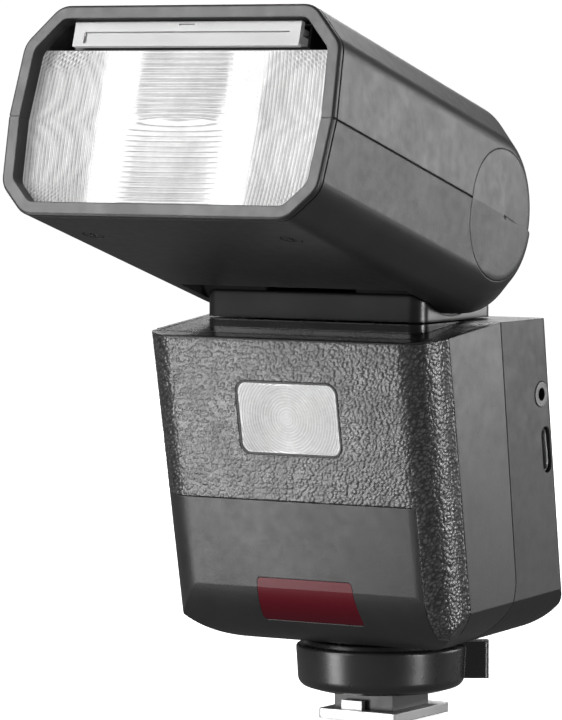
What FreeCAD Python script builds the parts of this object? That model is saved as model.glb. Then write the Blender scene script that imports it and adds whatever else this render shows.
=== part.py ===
"""Speedlight flash for a camera's hot shoe: a tilting and swivelling zoom head on a battery body.

Millimetres. The origin is the centre of the shoe foot's underside, +Z is up, and the flash
fires towards -Y. At rest the head is tilted up by the sheet's rest_tilt.

Shoe parts and the two case covers are drawn in the part's own frame, the lock ring about its
own axis. Head parts are drawn with the tilt axis at the origin and y running backwards along
the head. Case contents use three leaning frames, whose z axis climbs the front face, the rear
face or the middle of the case from the height named case_bottom.
"""
import FreeCAD, Part
import math
import os
import re

import Sketcher

Vector = FreeCAD.Vector
doc = FreeCAD.newDocument("speedlight_flash")

# ---------------------------------------------------------------- driving dimensions
SIZES = [
    ("foot_width", 18.6, "hot-shoe foot, across"),
    ("foot_length", 22.2, "hot-shoe foot, front to back"),
    ("foot_thick", 2.0, "hot-shoe foot plate"),
    ("block_width", 14.0, "insulating block above the foot, across"),
    ("block_length", 14.5, "insulating block above the foot, front to back"),
    ("block_top", 5.6, "top of the insulating block"),
    ("block_centre", -1.0, "insulating block centre, front to back"),
    ("ring_radius", 17.7, "lock ring, outside"),
    ("ring_centre", -1.2, "lock ring centre, front to back"),
    ("ring_bottom", 5.75, "underside of the lock ring"),
    ("ring_top", 16.2, "top of the lock ring"),
    ("boss_radius", 11.0, "threaded boss inside the lock ring"),
    ("running_gap", 0.05, "radial clearance of a running fit"),
    ("case_bottom", 18.5, "height at which the case's lower widths are stated"),
    ("belly", 16.6, "underside of the case, 15 mm ahead of the foot's middle"),
    ("belly_rise", 0.035, "rise of the underside per millimetre towards the rear"),
    ("belly_crown", 0.8, "rise of the underside from its middle to the sides"),
    ("case_top", 83.2, "flat top of the case"),
    ("case_half_top", 34.4, "half width of the case at its top"),
    ("case_half_bottom", 33.75, "half width of the case at its bottom"),
    ("front_bottom", -29.75, "front face at the case bottom"),
    ("front_top", -41.5, "front face at the case top"),
    ("rear_bottom", 18.85, "rear face at the case bottom"),
    ("rear_top", 8.5, "rear face at the case top"),
    ("case_wall", 2.0, "wall of the moulded covers"),
    ("case_corner", 14.5, "lower corners of the case, seen from the front"),
    ("chin_radius", 17.0, "curve where the front face turns under"),
    ("heel_radius", 8.0, "curve where the rear face turns under"),
    ("brow_height", 80.2, "top edge of the front face"),
    ("seam_top", -12.7, "cover seam at the case top"),
    ("seam_low", -4.9, "cover seam low on the case"),
    ("seam_gap", 0.3, "visible gap along a seam"),
    ("skin_thick", 0.5, "grained grip skin"),
    ("swivel_centre", -14.5, "swivel axis, front to back"),
    ("hub_radius", 12.2, "swivel hub"),
    ("hub_hole", 13.0, "hole in the case top around the hub"),
    ("neck_base", 83.6, "underside of the neck block"),
    ("neck_width", 51.3, "neck block, across"),
    ("neck_length", 29.5, "neck block, front to back"),
    ("neck_lip", 89.2, "top edge of the neck block"),
    ("saddle_radius", 20.4, "hollow of the neck block about the tilt axis"),
    ("pivot_y", -16.3, "tilt axis, front to back"),
    ("pivot_z", 104.9, "tilt axis, height"),
    ("rest_tilt", 16.8, "head tilt at rest, degrees"),
    ("drum_radius", 18.4, "hinge drum on the neck"),
    ("drum_half", 10.2, "half width of the hinge drum"),
    ("axle_radius", 3.0, "tilt axle"),
    ("head_half_width", 37.05, "half width of the head at its seam"),
    ("head_top", 22.5, "top of the head above the tilt axis"),
    ("head_bottom", 19.9, "underside of the head below the tilt axis"),
    ("head_front", 68.8, "front rim ahead of the tilt axis"),
    ("head_wall", 2.0, "wall of the head shells"),
    ("rim_width", 2.7, "width of the front rim"),
    ("rim_depth", 3.4, "depth of the front rim"),
    ("cap_radius", 13.15, "round cover over the tilt pivot"),
    ("lens_top", 14.3, "top edge of the flash lens"),
    ("lens_thick", 2.0, "flash lens"),
    ("lip_depth", 1.6, "wide panel's front lip behind the head's front"),
    ("lip_thick", 1.2, "wide panel's front lip, front to back"),
    ("lip_height", 4.9, "wide panel's front lip"),
    ("panel_thick", 1.5, "pull-out wide panel"),
    ("card_thick", 1.0, "pull-out bounce card"),
    ("tray_width", 53.6, "tray of the pull-out panels, across"),
    ("tray_height", 5.1, "tray of the pull-out panels"),
    ("reflector_half", 28.0, "half width of the reflector's mouth"),
    ("reflector_narrow", 23.0, "half width of the reflector at its back"),
    ("reflector_rim", 13.4, "half height of the reflector's mouth"),
    ("reflector_wall", 0.6, "wall of the reflector"),
    ("panel_width", 51.6, "pull-out panels, across"),
    ("panel_length", 40.0, "pull-out panels, front to back"),
    ("zoom_rail", 32.0, "zoom guide rail from the head's middle"),
    ("rail_height", 5.0, "zoom guide rail above the tilt axis"),
    ("rail_radius", 1.0, "zoom guide rail"),
    ("screw_place", 30.0, "zoom lead screw from the head's middle"),
    ("screw_radius", 1.5, "zoom lead screw"),
    ("motor_radius", 3.0, "zoom motor"),
    ("motor_length", 11.0, "zoom motor"),
    ("tube_radius", 2.0, "flash tube"),
    ("tube_length", 50.0, "flash tube"),
    ("tube_place", 42.6, "flash tube ahead of the tilt axis"),
    ("cheek_radius", 9.0, "plates that carry the tilt axle"),
    ("cheek_thick", 2.0, "plates that carry the tilt axle"),
    ("hub_foot", 76.5, "underside of the swivel hub"),
    ("wire_radius", 8.0, "wire way through the swivel"),
    ("washer_radius", 15.5, "washer that holds the swivel hub"),
    ("washer_thick", 1.3, "washer that holds the swivel hub"),
    ("collar_radius", 17.5, "collar that guides the swivel hub"),
    ("jack_radius", 2.6, "sync socket's rim"),
    ("jack_bore", 1.3, "sync socket's hole"),
    ("pin_radius", 0.75, "contact pins"),
    ("lock_pin_radius", 1.0, "lock pin of the foot"),
    ("board_thick", 1.6, "circuit boards"),
    ("dial_radius", 11.0, "control dial"),
    ("dial_height", 19.0, "control dial above the case bottom, along the rear face"),
    ("button_radius", 3.4, "round function buttons"),
    ("jack_depth", 18.3, "sync socket behind the middle of the case"),
    ("jack_rise", 46.8, "sync socket above the case bottom"),
    ("usb_depth", 19.0, "charging socket behind the middle of the case"),
    ("usb_rise", 35.0, "charging socket above the case bottom"),
]

sheet = doc.addObject("Spreadsheet::Sheet", "Sizes")
for row, (alias, value, meaning) in enumerate(SIZES, start=1):
    sheet.set(f"A{row}", meaning)
    sheet.set(f"B{row}", str(value))
    sheet.setAlias(f"B{row}", alias)
doc.recompute()


def size(alias):
    """One driving dimension of the sheet, as a number."""
    return float(sheet.get(alias))


def bind(obj, prop, formula):
    """Bind a property to a formula whose words are aliases of the sheet."""
    obj.setExpression(prop, re.sub(r"[a-z]\w*", r"Sizes.\g<0>", str(formula)))


# ---------------------------------------------------------------- frames
def lean(low, high):
    """Angle in degrees by which a face leans forward from the case bottom to its top."""
    return math.degrees(math.atan2(low - high, size("case_top") - size("case_bottom")))


MIDDLE_LOW = (size("front_bottom") + size("rear_bottom")) / 2
MIDDLE_HIGH = (size("front_top") + size("rear_top")) / 2
FRONT_LEAN = lean(size("front_bottom"), size("front_top"))
REAR_LEAN = lean(size("rear_bottom"), size("rear_top"))
MIDDLE_LEAN = lean(MIDDLE_LOW, MIDDLE_HIGH)

# each frame is its y, its z and its turn about X, as formulas of the sheet
FRAMES = {
    "part": ("0", "0", "0"),
    "head": ("pivot_y", "pivot_z", "-rest_tilt"),
    "front": ("front_bottom", "case_bottom", FRONT_LEAN),
    "rear": ("rear_bottom", "case_bottom", REAR_LEAN),
    "middle": ("(front_bottom + rear_bottom) / 2", "case_bottom", MIDDLE_LEAN),
    "ring": ("ring_centre", "0", "0"),
}


def place(obj, frame):
    """Give an object the Placement of one of the frames, bound to the sheet."""
    base_y, base_z, turn = FRAMES[frame]
    obj.Placement = FreeCAD.Placement(Vector(), FreeCAD.Rotation(Vector(1, 0, 0), -1))
    bind(obj, "Placement.Base.y", base_y)
    bind(obj, "Placement.Base.z", base_z)
    bind(obj, "Placement.Rotation.Angle", turn)


def frame_matrix(frame):
    """The same frame as a plain Placement, for shapes made by Part's own functions."""
    if frame == "head":
        return FreeCAD.Placement(
            Vector(0, size("pivot_y"), size("pivot_z")),
            FreeCAD.Rotation(Vector(1, 0, 0), -size("rest_tilt")),
        )
    low = {"front": size("front_bottom"), "rear": size("rear_bottom"), "middle": MIDDLE_LOW}
    turn = {"front": FRONT_LEAN, "rear": REAR_LEAN, "middle": MIDDLE_LEAN}
    return FreeCAD.Placement(
        Vector(0, low[frame], size("case_bottom")),
        FreeCAD.Rotation(Vector(1, 0, 0), turn[frame]),
    )


# ---------------------------------------------------------------- building blocks
nodes = []


def box(name, corner, lengths):
    """A box from its low corner, both given as formulas."""
    obj = doc.addObject("Part::Box", name)
    for prop, formula in zip(("Length", "Width", "Height"), lengths):
        bind(obj, prop, formula)
    for axis, formula in zip("xyz", corner):
        bind(obj, "Placement.Base." + axis, formula)
    return obj


TURNS = {
    "x": FreeCAD.Rotation(Vector(0, 1, 0), 90),
    "y": FreeCAD.Rotation(Vector(1, 0, 0), -90),
    "z": FreeCAD.Rotation(),
}


def cylinder(name, radius, height, base, along="z"):
    """A cylinder along an axis from the centre of its low end."""
    obj = doc.addObject("Part::Cylinder", name)
    bind(obj, "Radius", radius)
    bind(obj, "Height", height)
    obj.Placement = FreeCAD.Placement(Vector(), TURNS[along])
    for axis, formula in zip("xyz", base):
        bind(obj, "Placement.Base." + axis, formula)
    return obj


def cone(name, low_radius, high_radius, height, base):
    """An upright cone from the centre of its low end."""
    obj = doc.addObject("Part::Cone", name)
    bind(obj, "Radius1", low_radius)
    bind(obj, "Radius2", high_radius)
    bind(obj, "Height", height)
    for axis, formula in zip("xyz", base):
        bind(obj, "Placement.Base." + axis, formula)
    return obj


def fuse(name, shapes):
    """One solid from several."""
    obj = doc.addObject("Part::MultiFuse", name)
    obj.Shapes = shapes
    obj.Refine = True
    return obj


def cut(name, base, tools):
    """A solid with one or more tools taken out of it."""
    obj = doc.addObject("Part::Cut", name)
    obj.Base = base
    obj.Tool = tools[0] if len(tools) == 1 else fuse(name + "_tools", tools)
    obj.Refine = True
    return obj


def node(label, pieces, frame="part"):
    """Name a sub-part made of primitives and put it in its frame."""
    obj = doc.addObject("Part::Compound", label)
    obj.Links = pieces
    obj.Label = label
    place(obj, frame)
    nodes.append(obj)
    return obj


def moulded(label, shape, frame="part"):
    """Name a sub-part whose shape comes from Part's own functions, drawn in the given frame."""
    obj = doc.addObject("Part::Feature", label)
    obj.Shape = shape
    obj.Label = label
    place(obj, frame)
    nodes.append(obj)
    return obj


# ---------------------------------------------------------------- Part Design helpers
def design(label, frame="part"):
    """A Part Design body that becomes one node."""
    body = doc.addObject("PartDesign::Body", label)
    body.Label = label
    place(body, frame)
    nodes.append(body)
    return body


def sketch_on(body, plane_role, name, offset="0", shift=("0", "0")):
    """A sketch on one of the body's own origin planes, lifted off it and shifted by formulas."""
    sketch = body.newObject("Sketcher::SketchObject", name)
    plane = next(item for item in body.Origin.OriginFeatures if item.Role == plane_role)
    sketch.AttachmentSupport = [(plane, "")]
    sketch.MapMode = "FlatFace"
    for axis, formula in zip("xyz", (shift[0], shift[1], offset)):
        bind(sketch, "AttachmentOffset.Base." + axis, formula)
    return sketch


def constrain(sketch, kind, *reference, name, formula):
    """Add a named size to a sketch and bind it to the sheet."""
    sketch.addConstraint(Sketcher.Constraint(kind, *reference, 1.0))
    sketch.renameConstraint(sketch.ConstraintCount - 1, name)
    bind(sketch, "Constraints." + name, formula)


def rectangle(sketch, width, length):
    """A rectangle centred on the sketch's origin."""
    corners = [Vector(-1, -1, 0), Vector(1, -1, 0), Vector(1, 1, 0), Vector(-1, 1, 0)]
    for start, end in zip(corners, corners[1:] + corners[:1]):
        sketch.addGeometry(Part.LineSegment(start, end), False)
    for side in range(4):
        sketch.addConstraint(Sketcher.Constraint("Coincident", side, 2, (side + 1) % 4, 1))
        direction = "Horizontal" if side % 2 == 0 else "Vertical"
        sketch.addConstraint(Sketcher.Constraint(direction, side))
    sketch.addConstraint(Sketcher.Constraint("Symmetric", 0, 1, 1, 2, -1, 1))
    constrain(sketch, "DistanceX", 0, 1, 0, 2, name="width", formula=width)
    constrain(sketch, "DistanceY", 1, 1, 1, 2, name="length", formula=length)


def circle(sketch, name, radius, centre=("0", "0")):
    """A circle at a place given by two formulas."""
    index = sketch.addGeometry(Part.Circle(Vector(), Vector(0, 0, 1), 1.0), False)
    if centre == ("0", "0"):
        sketch.addConstraint(Sketcher.Constraint("Coincident", index, 3, -1, 1))
    else:
        constrain(sketch, "DistanceX", -1, 1, index, 3, name=name + "_x", formula=centre[0])
        constrain(sketch, "DistanceY", -1, 1, index, 3, name=name + "_y", formula=centre[1])
    constrain(sketch, "Radius", index, name=name, formula=radius)


def pad(body, name, sketch, length):
    """Grow a sketch into the body."""
    feature = body.newObject("PartDesign::Pad", name)
    feature.Profile = sketch
    bind(feature, "Length", length)
    return feature


def pocket_through(body, name, sketch):
    """Cut a sketch through the whole body, both ways from its plane."""
    feature = body.newObject("PartDesign::Pocket", name)
    feature.Profile = sketch
    feature.Type = "ThroughAll"
    feature.Midplane = True
    return feature


def plate(label, frame, plane_role, width, length, thickness, offset, shift=("0", "0")):
    """A flat rectangular sub-part, such as a circuit board, as a Part Design body."""
    body = design(label, frame)
    sketch = sketch_on(body, plane_role, label + "_outline", offset, shift)
    rectangle(sketch, width, length)
    pad(body, label + "_pad", sketch, thickness)
    return body


def disc(label, frame, plane_role, radius, thickness, offset, centre=("0", "0")):
    """A round sub-part, such as a button or a motor, as a Part Design body."""
    body = design(label, frame)
    sketch = sketch_on(body, plane_role, label + "_outline", offset)
    circle(sketch, "radius", radius, centre)
    pad(body, label + "_pad", sketch, thickness)
    return body


# ---------------------------------------------------------------- outlines of the mouldings
def rounded(points, radii, closed=True):
    """A flat wire through points, each corner turned into a tangent arc of its radius."""
    count = len(points)
    edges = []
    starts = []
    ends = []
    arcs = []
    for index, corner in enumerate(points):
        radius = radii[index]
        if radius <= 0 or (not closed and index in (0, count - 1)):
            starts.append(corner)
            ends.append(corner)
            arcs.append(None)
            continue
        back = (points[index - 1] - corner).normalize()
        ahead = (points[(index + 1) % count] - corner).normalize()
        half = back.getAngle(ahead) / 2
        inward = (back + ahead).normalize()
        start = corner + back * (radius / math.tan(half))
        end = corner + ahead * (radius / math.tan(half))
        middle = corner + inward * (radius / math.sin(half) - radius)
        starts.append(start)
        ends.append(end)
        arcs.append(Part.Arc(start, middle, end).toShape())
    for index in range(count):
        if arcs[index] is not None:
            edges.append(arcs[index])
        if index < count - 1 or closed:
            following = starts[(index + 1) % count]
            if ends[index].distanceToPoint(following) > 1e-6:
                edges.append(Part.LineSegment(ends[index], following).toShape())
    return Part.Wire(edges)


def prism(points, radii, along):
    """A solid swept straight from a flat rounded outline."""
    return Part.Face(rounded(points, radii)).extrude(along)


def slab(low, high):
    """A plain block between two corners."""
    span = high - low
    return Part.makeBox(span.x, span.y, span.z, low)


def inset_line(start, end, distance):
    """A line moved to its right by a distance, as a point and a direction."""
    direction = (end - start).normalize()
    return start + Vector(direction.z, 0, -direction.x) * distance, direction


def meet(first, second):
    """Where two lines of the xz plane cross."""
    (a, u), (b, v) = first, second
    gap = b - a
    scale = (gap.x * v.z - gap.z * v.x) / (u.x * v.z - u.z * v.x)
    return a + u * scale


# ---------------------------------------------------------------- head mouldings
def head_outline(side, inset):
    """Half of the head's eight-sided outline, above (side 1) or below (side -1) the seam."""
    half = size("head_half_width")
    if side > 0:
        points = [(-half, 0), (-36.1, 14.7), (-28.9, size("head_top"))]
    else:
        points = [(-half, 0), (-36.05, -13.9), (-30.0, -size("head_bottom"))]
    points = [Vector(x, 0, z) for x, z in points]
    points += [Vector(-p.x, 0, p.z) for p in reversed(points)]
    if inset == 0:
        return points
    lines = [inset_line(a, b, side * inset) for a, b in zip(points, points[1:])]
    base = (Vector(), Vector(1, 0, 0))
    moved = [meet(lines[0], base)]
    moved += [meet(a, b) for a, b in zip(lines, lines[1:])]
    moved.append(meet(lines[-1], base))
    return moved


def head_half(side, inset, front, softened=0):
    """Half of the head: straight ahead of the tilt axis, and turned about it behind.

    The upper half's turned end is drawn in a little, so that both halves end alike.
    The front edge is softened by a small radius where one is given."""
    points = head_outline(side, inset)
    corner = max(5.0 - inset, 0.5)
    outline = rounded(points, [0, corner, corner, corner, corner, 0])
    face = Part.Face(outline)
    straight = face.extrude(Vector(0, -front, 0))
    if softened:
        ahead = [edge for edge in straight.Edges if edge.BoundBox.YMax < -front + 0.01]
        edges = [edge for edge in ahead if abs(edge.CenterOfMass.z) > 0.01]
        straight = straight.makeFillet(softened, edges)
    turned = face.revolve(Vector(), Vector(1, 0, 0), -90 * side)
    if side > 0:
        reach = size("head_bottom") - inset
        squeeze = FreeCAD.Matrix()
        squeeze.A22 = reach / (size("head_top") - inset)
        turned = turned.transformGeometry(squeeze)
    return straight.fuse(turned).removeSplitter()


def hinge_slot():
    """The space that the neck's drum and tongue sweep through the head."""
    reach = size("drum_half") + 0.5
    drum = Part.makeCylinder(size("drum_radius") + 0.4, 2 * reach, Vector(-reach, 0, 0), Vector(1, 0, 0))
    sweep = slab(Vector(-reach, -10.2, -30), Vector(reach, 30, 10.2))
    return drum.fuse(sweep)


def neck_recess():
    """The hollow under the head that the neck block's front edge enters as the head comes down."""
    reach = size("neck_width") / 2 + 0.7
    lower = slab(Vector(-reach, -15.5, -30), Vector(reach, 12, -9))
    kept = Part.makeCylinder(size("saddle_radius") - 0.1, 2 * reach, Vector(-reach, 0, 0), Vector(1, 0, 0))
    return lower.cut(kept)


def head_shell(side):
    """One hollow half of the head, open at the front behind its rim."""
    front = size("head_front")
    outer = head_half(side, 0, front, 0.6)
    cavity = head_half(side, size("head_wall"), front - size("rim_depth"))
    mouth = Part.Face(rounded(head_outline(side, size("rim_width")), [0, 2.5, 2.5, 2.5, 2.5, 0]))
    shell = outer.cut(cavity).cut(mouth.extrude(Vector(0, -front - 1, 0)))
    skin = head_half(side, 0, front + 1).cut(head_half(side, 0.4, front + 1))
    rim_groove = skin.common(slab(Vector(-50, -front + 1.1, -50), Vector(50, -front + 1.5, 50)))
    seam_groove = skin.common(slab(Vector(-50, -front - 1, -0.2), Vector(50, 30, 0.2)))
    shell = shell.cut(rim_groove).cut(seam_groove).cut(hinge_slot()).cut(neck_recess())
    for x in (-50, 33):
        shell = shell.cut(Part.makeCylinder(size("cap_radius") + 0.12, 17, Vector(x, 0, 0), Vector(1, 0, 0)))
    if side < 0:
        shell = shell.cut(Part.makeCompound(screw_seats()))
    return shell.removeSplitter()


HEAD_SCREWS = [(-22.7, -54.0), (22.7, -54.0)]


def screw_seats():
    """Counterbored holes for the two screws under the front of the head."""
    seats = []
    for x, y in HEAD_SCREWS:
        floor = -size("head_bottom")
        head = Part.makeCylinder(2.2, 1.4, Vector(x, y, floor - 0.2), Vector(0, 0, 1))
        shank = Part.makeCylinder(1.05, 4, Vector(x, y, floor), Vector(0, 0, 1))
        seats.append(head.fuse(shank))
    return seats


def head_covers():
    """The two head shells and the two round covers over the tilt pivot."""
    moulded("head_upper_shell", head_shell(1), "head")
    moulded("head_lower_shell", head_shell(-1), "head")
    whole = head_half(1, 0, size("head_front")).fuse(head_half(-1, 0, size("head_front")))
    for name, x in (("left", -50.0), ("right", 33.2)):
        plug = Part.makeCylinder(size("cap_radius"), 16.8, Vector(x, 0, 0), Vector(1, 0, 0))
        moulded(f"pivot_cap_{name}", whole.common(plug).removeSplitter(), "head")


def head_optics():
    """Flash lens, the reflector behind it with its tube, and the two pull-out panels."""
    clear = size("head_wall") + 0.05
    upper = Part.Face(rounded(head_outline(1, clear), [0, 3, 3, 3, 3, 0]))
    lower = Part.Face(rounded(head_outline(-1, clear), [0, 3, 3, 3, 3, 0]))
    back = -size("head_front") + size("rim_depth") + 0.05
    depth = Vector(0, size("lens_thick"), 0)
    solid = upper.extrude(depth).fuse(lower.extrude(depth))
    solid.translate(Vector(0, back, 0))
    kept = slab(Vector(-50, -80, -50), Vector(50, 0, size("lens_top")))
    moulded("fresnel_lens", solid.common(kept).removeSplitter(), "head")
    moulded("reflector", reflector_shell(), "head")
    tube_start = ("-tube_length / 2", "-tube_place", "0")
    tube = cylinder("tube_glass", "tube_radius", "tube_length", tube_start, "x")
    node("flash_tube", [tube], "head")
    half = "panel_width / 2"
    face = "-head_front + lip_depth"
    sheet_length = "panel_length - 0.4"
    sheet_corner = ("-" + half, face + " + 1", "lens_top + 1")
    panel = box("panel_sheet", sheet_corner, ("panel_width", sheet_length, "panel_thick"))
    lip = box("panel_lip", ("-" + half, face, "lens_top + 0.3"), ("panel_width", "lip_thick", "lip_height"))
    recess_corner = ("2.4 - " + half, face + " - 0.4", "lens_top + 0.9")
    recess = box("panel_recess", recess_corner, ("panel_width - 4.8", "0.9", "2.3"))
    notch = box("panel_notch", ("-1.8", face + " - 0.4", "lens_top + 4.4"), ("3.6", "0.8", "0.35"))
    blank = fuse("wide_panel_blank", [panel, lip])
    node("wide_panel", [cut("wide_panel_solid", blank, [recess, notch])], "head")
    card_corner = ("-" + half, "-head_front + 3", "lens_top + 3")
    card = box("card_sheet", card_corner, ("panel_width", "panel_length - 0.8", "card_thick"))
    node("bounce_card", [card], "head")
    tray_corner = ("-tray_width / 2", "-head_front + 4.2", "lens_top + 0.3")
    outer = box("tray_block", tray_corner, ("tray_width", "panel_length", "tray_height"))
    way_x = "0.6 - tray_width / 2"
    way_y = "-head_front + 3"
    way_width = "tray_width - 1.2"
    way_length = "panel_length + 0.6"
    panel_room = (way_width, way_length, "panel_thick + 0.4")
    panel_way = box("panel_way", (way_x, way_y, "lens_top + 0.8"), panel_room)
    card_way = box("card_way", (way_x, way_y, "lens_top + 2.8"), (way_width, way_length, "card_thick + 1"))
    node("panel_tray", [cut("panel_tray_solid", outer, [panel_way, card_way])], "head")


def bowl(inset, wide):
    """A trough curved like a parabola about the flash tube, closed by flared ends."""
    depth = 17.0
    rim = size("reflector_rim") - inset
    focal = 2.7
    vertex = 2.2 - size("tube_place") - inset
    points = []
    steps = 12
    for step in range(-steps, steps + 1):
        z = rim * step / steps
        points.append(Vector(0, vertex - z * z / (4 * focal), z))
    curve = Part.BSplineCurve()
    curve.interpolate(points)
    chord = Part.LineSegment(points[-1], points[0]).toShape()
    section = Part.Face(Part.Wire([curve.toShape(), chord]))
    trough = section.extrude(Vector(2 * wide, 0, 0))
    trough.translate(Vector(-wide, 0, 0))
    narrow = size("reflector_narrow") - inset
    flare = prism(
        [
            Vector(-narrow, vertex + 2, -20),
            Vector(narrow, vertex + 2, -20),
            Vector(wide, vertex - depth, -20),
            Vector(-wide, vertex - depth, -20),
        ],
        [0, 0, 0, 0],
        Vector(0, 0, 40),
    )
    return trough.common(flare)


def reflector_shell():
    """Thin bright reflector, open towards the lens, with a hole in each end for the tube."""
    wall = size("reflector_wall")
    shell = bowl(0, size("reflector_half")).cut(bowl(wall, size("reflector_half") - wall))
    start = Vector(-40, -size("tube_place"), 0)
    hole = Part.makeCylinder(size("tube_radius") + 0.02, 80, start, Vector(1, 0, 0))
    return shell.cut(hole)


def zoom_drive():
    """Carriage behind the reflector, its two rails, the lead screw and the motor."""
    rails = []
    for name, x in (("left", "-zoom_rail"), ("right", "zoom_rail")):
        rails.append(cylinder("rail_" + name, "rail_radius", "44", (x, "-62", "-rail_height"), "y"))
    node("zoom_rails", rails, "head")
    arm = box("carriage_plate", ("-34", "-39.7", "-8"), ("68", "3.6", "17"))
    spine = box("carriage_web", ("-20", "-40.3", "-3"), ("40", "0.7", "6"))
    guide = "rail_radius + running_gap"
    nut = "screw_radius + running_gap"
    holes = [
        cylinder("carriage_hole_left", guide, "10", ("-zoom_rail", "-44", "-rail_height"), "y"),
        cylinder("carriage_hole_right", guide, "10", ("zoom_rail", "-44", "-rail_height"), "y"),
        cylinder("carriage_nut", nut, "10", ("screw_place", "-44", "rail_height"), "y"),
    ]
    node("zoom_carriage", [cut("carriage_solid", fuse("carriage_blank", [arm, spine]), holes)], "head")
    disc("zoom_screw", "head", "XZ_Plane", "screw_radius", "32", "20.1", ("screw_place", "rail_height"))
    motor = cylinder("motor_can", "motor_radius", "motor_length", ("screw_place", "-20", "rail_height"), "y")
    node("zoom_motor", [motor], "head")


def head_electrics():
    """Circuit board and trigger coil behind the zoom carriage."""
    board = box("head_board_sheet", ("-31", "-20", "8"), ("16.4", "24", "board_thick"))
    node("head_board", [board], "head")
    coil = cylinder("coil_winding", "4", "12", ("-29", "-8", "13.65"), "x")
    node("trigger_coil", [coil], "head")


def tilt_hinge():
    """Axle through the neck's drum and the two plates in the head that carry it."""
    node("tilt_axle", [cylinder("axle_rod", "axle_radius", "64", ("-32", "0", "0"), "x")], "head")
    plates = []
    for name, x in (("left", "-drum_half - 3.2"), ("right", "drum_half + 1.2")):
        cheek = cylinder(f"cheek_{name}", "cheek_radius", "cheek_thick", (x, "0", "0"), "x")
        foot = box(f"cheek_foot_{name}", (x, "-cheek_radius", "-17.2"), ("cheek_thick", "12", "17.2"))
        hole = cylinder(f"cheek_hole_{name}", "axle_radius", "4", (x + " - 1", "0", "0"), "x")
        plates.append(cut(f"cheek_solid_{name}", fuse(f"cheek_blank_{name}", [cheek, foot]), [hole]))
    node("pivot_plates", plates, "head")


def head_fasteners():
    """The two screws under the front of the head."""
    screws = []
    for index, (x, y) in enumerate(HEAD_SCREWS):
        top = cylinder(f"head_screw_cap_{index}", "2", "1.1", (x, y, "-head_bottom + 0.05"))
        shank = cylinder(f"head_screw_shank_{index}", "1", "2.6", (x, y, "-head_bottom + 1.1"))
        cross = box(f"head_screw_cross_{index}", (x - 1.2, y - 0.2, "-head_bottom"), ("2.4", "0.4", "0.5"))
        slot = box(f"head_screw_slot_{index}", (x - 0.2, y - 1.2, "-head_bottom"), ("0.4", "2.4", "0.5"))
        blank = fuse(f"head_screw_blank_{index}", [top, shank])
        screws.append(cut(f"head_screw_{index}", blank, [cross, slot]))
    node("head_screws", screws, "head")


# ---------------------------------------------------------------- neck
def neck_block():
    """Block that carries the head: a hollow saddle under it and a drum on a tongue inside it."""
    half = size("neck_width") / 2
    front = size("swivel_centre") - size("neck_length") / 2
    rear = front + size("neck_length")
    base = size("neck_base")
    lip = size("neck_lip")
    plan = [Vector(x, y, base) for x, y in ((-half, front), (half, front), (half, rear), (-half, rear))]
    block = prism(plan, [3.0] * 4, Vector(0, 0, lip - base))
    face = upright(-half, half, base, lip, front)
    block = block.common(prism(face, [0, 0, 2.6, 2.6], Vector(0, size("neck_length"), 0)))
    pivot = Vector(0, size("pivot_y"), size("pivot_z"))
    along = Vector(1, 0, 0)
    saddle = Part.makeCylinder(size("saddle_radius"), 80, pivot - Vector(40, 0, 0), along)
    rear_half = slab(Vector(-40, pivot.y + 8.5, base), Vector(40, pivot.y + 40, lip + 10))
    relief = Part.makeCylinder(size("saddle_radius") + 1.0, 80, pivot - Vector(40, 0, 0), along)
    block = block.cut(saddle).cut(relief.common(rear_half))
    reach = size("drum_half")
    drum = Part.makeCylinder(size("drum_radius"), 2 * reach, pivot - Vector(reach, 0, 0), along)
    tongue = slab(Vector(-reach, pivot.y - 9.2, base), Vector(reach, pivot.y + 9.2, pivot.z))
    bore = Part.makeCylinder(size("axle_radius") + size("running_gap"), 80, pivot - Vector(40, 0, 0), along)
    whole = block.fuse([drum, tongue]).cut(bore).removeSplitter()
    moulded("neck_block", whole)


def swivel_bearing():
    """Hub under the neck block, its retaining washer, and the fixed collar that guides it."""
    place_y = "swivel_centre"
    hub = cylinder("hub_outer", "hub_radius", "neck_base - hub_foot", ("0", place_y, "hub_foot"))
    wire_way = cylinder("hub_bore", "wire_radius", "20", ("0", place_y, "hub_foot - 5"))
    node("swivel_hub", [cut("hub_solid", hub, [wire_way])])
    washer_low = "hub_foot - washer_thick"
    washer = cylinder("washer_outer", "washer_radius", "washer_thick", ("0", place_y, washer_low))
    washer_hole = cylinder("washer_bore", "wire_radius", "3", ("0", place_y, washer_low + " - 1"))
    node("swivel_washer", [cut("washer_solid", washer, [washer_hole])])
    centre = Vector(0, size("swivel_centre"), size("hub_foot") + 0.5)
    collar = Part.makeCylinder(size("collar_radius"), 10, centre)
    bore = Part.makeCylinder(size("hub_radius") + size("running_gap"), 20, centre)
    room = case_block(1.2, size("case_wall") + 0.02)
    moulded("swivel_collar", collar.cut(bore).common(room).removeSplitter())


# ---------------------------------------------------------------- case mouldings
def case_section(height, inset):
    """Plan outline of the case at a height, as corner points and corner radii."""
    share = (height - size("case_bottom")) / (size("case_top") - size("case_bottom"))

    def at(low, high):
        return low + (high - low) * share

    half = at(size("case_half_bottom"), size("case_half_top")) - inset
    front = at(size("front_bottom"), size("front_top")) + inset
    rear = at(size("rear_bottom"), size("rear_top")) - inset
    points = [
        Vector(-half, front, height),
        Vector(half, front, height),
        Vector(half, rear, height),
        Vector(-half, rear, height),
    ]
    return points, [8.2 - inset, 8.2 - inset, max(4.0 - inset, 1.0), max(4.0 - inset, 1.0)]


def side_line(low, high, height):
    """A leaning face's y at a height."""
    share = (height - size("case_bottom")) / (size("case_top") - size("case_bottom"))
    return size(low) + (size(high) - size(low)) * share


def belly_height(y):
    """Height of the case's underside along its middle; it rises a little towards the rear."""
    return size("belly") + size("belly_rise") * (y + 15)


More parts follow.
